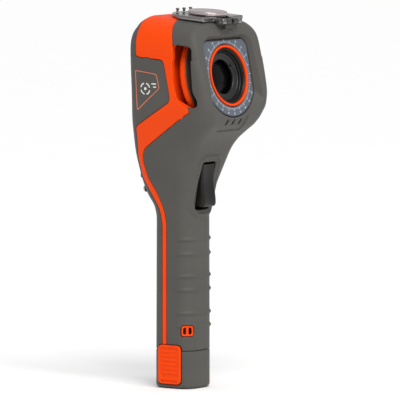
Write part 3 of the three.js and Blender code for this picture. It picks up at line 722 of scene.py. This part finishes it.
# ---------- cover ----------
AT_PIN = Matrix.Translation((0, PIN[0] * MM, PIN[1] * MM))
LID_FRAME = AT_PIN @ Matrix.Rotation(LID_TILT, 4, "X")
LID_R = 25
LID_ROUND_Y = 22.6  # the lid is a slab up to here, and round beyond
ARM_X = 9.5
ARM_HALF = 2.0
ARM_R = 2.4
PIN_BORE = 1.3
STUD_X = (-8, 0, 8)
STUD_Y = 43
STUD_SEAT = 2.9


def build_cover():
    s = Space((-26.5, -3.5, -3.5), (26.5, 49, 6), SMALL * 1.3)
    slab = rounded_rect(s.x, s.y, -LID_R, LID_R, LID_START, LID_ROUND_Y, 0.5)
    tip = np.hypot(s.x, s.y - LID_ROUND_Y) - LID_R
    outline = np.where(s.y > LID_ROUND_Y, tip, slab)
    notch = rounded_rect(s.x, s.y, -7.5, 7.5, -5, 10.6, 0.6)
    outline = smooth_max(outline, -notch, 0.6)
    plate = smooth_max(outline, np.abs(s.z - 1.0) - 1.6, 0.9)
    # a shallow groove around the disc
    groove = np.maximum(np.abs(np.hypot(s.x, s.y - PAD_Y) - PAD_R - 1.3) - 0.5, 2.2 - s.z)
    plate = smooth_max(plate, -groove, 0.4)
    for side in (-1, 1):
        flank = np.abs(s.x - side * ARM_X) - ARM_HALF
        arm = np.maximum(flank, np.hypot(s.y, s.z) - ARM_R)
        web = np.maximum(flank, rounded_rect(s.y, s.z, 0, LID_START + 1, -0.6, 2.2, 0.3))
        plate = smooth_min(plate, smooth_min(arm, web, 0.5), 0.5)
    plate = np.maximum(plate, PIN_BORE - np.hypot(s.y, s.z))
    lid = to_object("cover_plate", s, plate)
    lid.data.transform(LID_FRAME)
    finish_piece(lid, CHROME, "cover", "cover_chrome", "lens_cover")
    at_disc = LID_FRAME @ Matrix.Translation((0, PAD_Y * MM, 0))
    disc = revolve("cover_disc", [(0, 2.95), (14.1, 2.95), (14.45, 3.3), (14.45, 5.2),
                                  (13.9, 5.75), (12.6, 5.75), (12.3, 5.55), (0, 5.55)],
                   place=at_disc, radius=0.25)
    finish_piece(disc, PAD, "cover", "cover_steel", "cover_pad")
    for i, x in enumerate(STUD_X):
        at_stud = LID_FRAME @ Matrix.Translation((x * MM, STUD_Y * MM, STUD_SEAT * MM))
        stud = revolve(f"cover_pip_{i + 1}", [(0, 0), (0.9, 0), (0.85, 1.3), (1.4, 1.7),
                                              (1.35, 2.4), (0.9, 2.8), (0, 2.8)],
                       segments=32, place=at_stud, radius=0.2)
        finish_piece(stud, STUD, "cover", "stud_dark", f"cover_stud_{i + 1}")


# ---------- battery base and latches ----------
LATCH_FACE = 17.8
LATCH_HALF = 10.2
LATCH_LOW, LATCH_HIGH = 3.0, 31.9
LATCH_RIBS = 6
LATCH_RIB_LOW = 11.1
LATCH_RIB_PITCH = 3.2
FOOT_ROUND = 2.7


def build_battery():
    s = Space((-18.2, -18.2, -0.6), (18.2, 18.2, 28.4), SMALL * 1.3)
    side = rounded_rect(s.x, s.y, -17, 17, -17.5, 17.5, 11)
    below = np.clip(FOOT_ROUND - s.z, 0, None)
    inset = FOOT_ROUND - np.sqrt(np.clip(FOOT_ROUND ** 2 - below ** 2, 0, None))
    base = smooth_max(side + inset, np.abs(s.z - BASE_TOP / 2) - BASE_TOP / 2, 0.5)
    base = smooth_max(base, -latch_notch(s, top=45, inner=14.1), 0.4)
    finish_piece(to_object("battery_foot", s, base), GREY, "battery", "grey_shell", "battery_base")
    for name, turn in (("latch_right", math.pi), ("latch_left", 0)):
        s = Space((14.6, -11, 2.2), (18.6, 11, 33), SMALL)
        side = rounded_rect(s.y, s.z, -LATCH_HALF, LATCH_HALF, LATCH_LOW, LATCH_HIGH, 3.4)
        plate = smooth_max(side, np.abs(s.x - 16.7) - 1.1, 0.9)
        inner = rounded_rect(s.y, s.z, -8.3, 8.3, 7.5, 30.0, 2.4)
        dip = np.maximum(inner, LATCH_FACE - 0.75 - s.x)
        plate = smooth_max(plate, -dip, 0.5)
        for i in range(LATCH_RIBS):
            z = LATCH_RIB_LOW + LATCH_RIB_PITCH * i
            rib = np.hypot(s.x - 17.05, s.z - z) - 0.62
            rib = np.maximum(rib, np.abs(s.y) - 7.0)
            plate = smooth_min(plate, rib, 0.3)
        groove = rounded_rect(s.y, s.z, -7.4, 7.4, 4.4, 5.9, 0.7)
        plate = smooth_max(plate, -np.maximum(groove, LATCH_FACE - 0.8 - s.x), 0.3)
        latch = to_object(f"{name}_pad", s, plate)
        latch.data.transform(Matrix.Rotation(turn, 4, "Z"))
        finish_piece(latch, ORANGE, name, "orange_shell", name)


# ---------- side badges ----------
class Points:
    """Loose sample points, for reading the body's distance field."""

    def __init__(self, x, y, z):
        self.x, self.y, self.z = x, y, z


def side_surface(y, z):
    """How far out (+X) the rear housing's side is at each (y, z)."""
    tries = np.arange(25, 44, 0.05, dtype=np.float32)[:, None]
    y, z = np.asarray(y, np.float32)[None, :], np.asarray(z, np.float32)[None, :]
    distance = body(Points(tries, y, z)) + WING_INSET / (1 + np.exp(y - WING_REAR_Y))
    return tries[:, 0][np.argmax(distance > 0, axis=0)]


def side_print(name, patches, lift, depth, sign, look):
    """Thin raised shapes on the side; each patch is a grid of (y, z) points."""
    points, faces = [], []
    for patch in patches:
        patch = np.array(patch, float)
        rows, cols = patch.shape[:2]
        flat = patch.reshape(-1, 2)
        x = side_surface(flat[:, 0], flat[:, 1])
        base = len(points)
        for height in (lift, -depth):
            points.extend((sign * (x[i] + height) * MM, flat[i, 0] * MM, flat[i, 1] * MM)
                          for i in range(len(flat)))

        def at(r, c, low=0):
            return base + r * cols + c + low * rows * cols

        for r in range(rows - 1):
            for c in range(cols - 1):
                faces.append((at(r, c), at(r, c + 1), at(r + 1, c + 1), at(r + 1, c)))
                faces.append((at(r, c, 1), at(r + 1, c, 1), at(r + 1, c + 1, 1), at(r, c + 1, 1)))
        for c in range(cols - 1):
            e = rows - 1
            faces.append((at(0, c), at(0, c, 1), at(0, c + 1, 1), at(0, c + 1)))
            faces.append((at(e, c), at(e, c + 1), at(e, c + 1, 1), at(e, c, 1)))
        for r in range(rows - 1):
            e = cols - 1
            faces.append((at(r, 0), at(r + 1, 0), at(r + 1, 0, 1), at(r, 0, 1)))
            faces.append((at(r, e), at(r, e, 1), at(r + 1, e, 1), at(r + 1, e)))
    obj = tidy_mesh(plain_object(name, points, faces, smooth=False))
    return finish_piece(obj, look, "housing", "label_plate")


def inset_outline(points, inset):
    """Each point of an outline moved inwards along the bisector of its corner."""
    pts = np.array(points, float)
    ahead, behind = np.roll(pts, -1, 0) - pts, pts - np.roll(pts, 1, 0)
    ahead /= np.linalg.norm(ahead, axis=1)[:, None] + 1e-9
    behind /= np.linalg.norm(behind, axis=1)[:, None] + 1e-9
    tangent = ahead + behind
    tangent /= np.linalg.norm(tangent, axis=1)[:, None] + 1e-9
    normal = np.stack([-tangent[:, 1], tangent[:, 0]], 1)
    centre = pts.mean(0)
    if ((pts + normal - centre) ** 2).sum() > ((pts - normal - centre) ** 2).sum():
        normal = -normal
    stretch = 1 / np.clip((tangent * ahead).sum(1), 0.5, 1)
    return pts + normal * inset * stretch[:, None]


def resampled(points, step=0.8):
    """A closed outline with more points along its sides, a step or a little more apart."""
    out = []
    for p, q in zip(points, points[1:] + points[:1]):
        p, q = np.array(p, float), np.array(q, float)
        count = max(1, int(np.linalg.norm(q - p) / step))
        out.extend(tuple(p + (q - p) * i / count) for i in range(count))
    return out


def arc_patch(centre, r0, r1, a0, a1, steps=10):
    angles = np.radians(np.linspace(a0, a1, steps))
    return [[(centre[0] + r * math.cos(a), centre[1] + r * math.sin(a)) for a in angles]
            for r in (r0, r1)]


def bar_patch(y0, y1, z0, z1):
    return [[(y, z) for y in np.linspace(y0, y1, 6)] for z in (z0, z1)]


MARK_CENTRE = (4.4, 223.2)  # (Y, Z) of the four arcs around a dot


def build_badges():
    edge = resampled(filleted(LABEL, 1.6))
    line_out, line_in = inset_outline(edge, 0.1), inset_outline(edge, 0.75)
    line = [list(map(tuple, ring)) + [tuple(ring[0])] for ring in (line_out, line_in)]
    corners = [tuple(p) for p in inset_outline(LABEL, 1.25)]
    grid = [[tuple((1 - v) * ((1 - u) * np.array(corners[0]) + u * np.array(corners[1]))
                   + v * ((1 - u) * np.array(corners[3]) + u * np.array(corners[2])))
             for u in np.linspace(0, 1, 18)] for v in np.linspace(0, 1, 18)]
    symbol = [arc_patch(MARK_CENTRE, 3.6, 4.5, a + 14, a + 76) for a in (0, 90, 180, 270)]
    symbol += [arc_patch(MARK_CENTRE, 0.05, 1.1, a, a + 120, 6) for a in (0, 120, 240)]
    symbol += [bar_patch(-5.6, -1.4, 226.6, 227.4), bar_patch(-5.6, -2.8, 224.3, 225.1)]
    for name, sign in (("label_right", -1), ("label_left", 1)):
        backing = side_print(f"{name}_plate", [grid], 0.06, 0.3, sign, GREY)
        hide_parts(name)
        side_print(f"{name}_outline", [line], 0.12, 0.25, sign, LINE)
        side_print(f"{name}_symbol", symbol, 0.13, 0.2, sign, MARK)


# ---------- trigger, keys and screws ----------
TRIGGER_HALF = 7.9
TRIGGER_PIVOT = (-16.5, 163.5)  # (Y, Z)
TRIGGER_PIN_R = 1.8


def build_trigger():
    outline = [(-24.3, 166.8)]  # (Y, Z), from the top of the finger face down and round
    outline += bezier(outline[-1], (-22.7, 156), (-24.2, 148), 8)[1:]
    outline += bezier(outline[-1], (-25.6, 141), (-25.4, 137.2), 8)[1:]
    outline += bezier(outline[-1], (-25.2, 134.6), (-22.6, 134.4), 5)[1:]
    outline += [(-16, 135), (-13.5, 150), (-12.6, 163.5)]
    outline += bezier(outline[-1], (-13.2, 167), (-17, 167.3), 5)[1:]
    s = Space((-9, -27, 133), (9, -11.5, 169), SMALL)
    side = polygon(s.y, s.z, outline)
    scoop = 0.45 * (1 - (s.x / TRIGGER_HALF) ** 2) / (1 + np.exp((s.y + 20) / 0.6))
    lever = smooth_max(side + scoop, np.abs(s.x) - TRIGGER_HALF, 2.4)
    bore = np.hypot(s.y - TRIGGER_PIVOT[0], s.z - TRIGGER_PIVOT[1])
    lever = np.maximum(lever, TRIGGER_PIN_R - bore)
    finish_piece(to_object("trigger_lever", s, lever), BLACK, "trigger", "black_plastic", "trigger")


def build_keys():
    for name, low, high in node_boxes("key_"):
        s = Space((low.x - 1, low.y - 1, low.z - 1), (high.x + 1, high.y + 1, high.z + 1), SMALL)
        side = rounded_rect(s.x, s.z, low.x, high.x, low.z, high.z,
                            min(high.x - low.x, high.z - low.z) / 2)
        crown = 0.35 * (((s.x - (low.x + high.x) / 2) / (high.x - low.x)) ** 2
                        + ((s.z - (low.z + high.z) / 2) / (high.z - low.z)) ** 2)
        cap = smooth_max(side, np.maximum(s.y - high.y + crown, low.y - s.y), 0.8)
        look, slot = (ORANGE, "orange_shell") if name == "key_ok" else (RUBBER, "key_rubber")
        finish_piece(to_object(f"{name}_cap", s, cap), look, name, slot, name)


def socket(angle, r, h):
    """Six lobes around the hole in a screw's head."""
    if r < 1.3 and h > -1.2:
        r *= 1 + 0.16 * math.cos(6 * angle)
    return r, h


def build_screws():
    for name, low, high in node_boxes("housing_screw"):
        x, z = (low.x + high.x) / 2, (low.z + high.z) / 2
        place = Matrix.Translation((x * MM, high.y * MM, z * MM)) \
            @ Matrix.Rotation(-math.pi / 2, 4, "X")
        length = high.y - low.y
        screw = revolve(f"{name}_torx", [(0, -length), (1.2, -length), (1.2, -1.6), (2.65, -1.6),
                                         (2.65, -0.5), (2.2, -0.05), (1.25, -0.02),
                                         (1.15, -1.0), (0, -1.1)],
                        segments=96, shape=socket, place=place, radius=0.12)
        finish_piece(screw, STEEL, "housing", "steel", name)


# ---------- floor, light and camera ----------
# lengths here are in metres, and SENSOR in millimetres
VIEW_AZIMUTH = math.radians(-53.5)
VIEW_HEIGHT = math.radians(5.0)
DISTANCE = 5.0
SPAN = 0.296  # width of the view at the object
SENSOR = 36
AIM_RIGHT = 0.0126
AIM_HEIGHT = 0.1385
FLOOR_HALF = 6.0
FLOOR_Z = -0.0004
SKY_STRENGTH = 0.62


def stage():
    corners = [(x * FLOOR_HALF, y * FLOOR_HALF, FLOOR_Z)
               for x, y in ((-1, -1), (1, -1), (1, 1), (-1, 1))]
    floor = plain_object("floor", corners, [(0, 1, 2, 3)], smooth=False)
    floor.data.materials.append(
        material("floor_pale", (0.97, 0.97, 0.97), 0.9, mottle=0.005, specular=0.0))
    world = bpy.data.worlds.new("studio")
    bpy.context.scene.world = world
    world.use_nodes = True
    sky = world.node_tree.nodes["Background"]
    sky.inputs["Color"].default_value = (1, 1, 1, 1)
    sky.inputs["Strength"].default_value = SKY_STRENGTH
    bpy.context.scene.view_settings.view_transform = "Standard"


def soft_light(name, place, target, size, power):
    data = bpy.data.lights.new(name, "AREA")
    data.shape = "SQUARE"
    data.size = size
    data.energy = power
    light = linked(name, data)
    light.location = place
    light.rotation_euler = (Vector(target) - Vector(place)).to_track_quat("-Z", "Y").to_euler()


def sun(name, towards, angle, strength):
    data = bpy.data.lights.new(name, "SUN")
    data.angle = math.radians(angle)
    data.energy = strength
    light = linked(name, data)
    light.rotation_euler = Vector(towards).to_track_quat("Z", "Y").to_euler()


def camera():
    right = Vector((math.cos(VIEW_AZIMUTH), math.sin(VIEW_AZIMUTH), 0))
    towards = Vector((math.sin(VIEW_AZIMUTH) * math.cos(VIEW_HEIGHT),
                      -math.cos(VIEW_AZIMUTH) * math.cos(VIEW_HEIGHT), math.sin(VIEW_HEIGHT)))
    aim = right * AIM_RIGHT + Vector((0, 0, AIM_HEIGHT))
    data = bpy.data.cameras.new("camera")
    data.sensor_width = SENSOR
    data.lens = SENSOR * DISTANCE / SPAN
    data.clip_end = 50
    cam = linked("camera", data)
    cam.location = aim + towards * DISTANCE
    cam.rotation_euler = (-towards).to_track_quat("-Z", "Y").to_euler()
    bpy.context.scene.camera = cam


stage()
camera()
sun("daylight", towards=(-0.55, -0.65, 1.1), angle=28, strength=1.55)
soft_light("key", place=(-0.4, -1.7, 1.1), target=(0, 0, 0.17), size=0.5, power=9)
dress_cad_nodes()
build_front()
build_mid()
build_rear()
build_lanyard()
build_lens()
build_cover()
build_battery()
build_badges()
build_trigger()
build_keys()
build_screws()
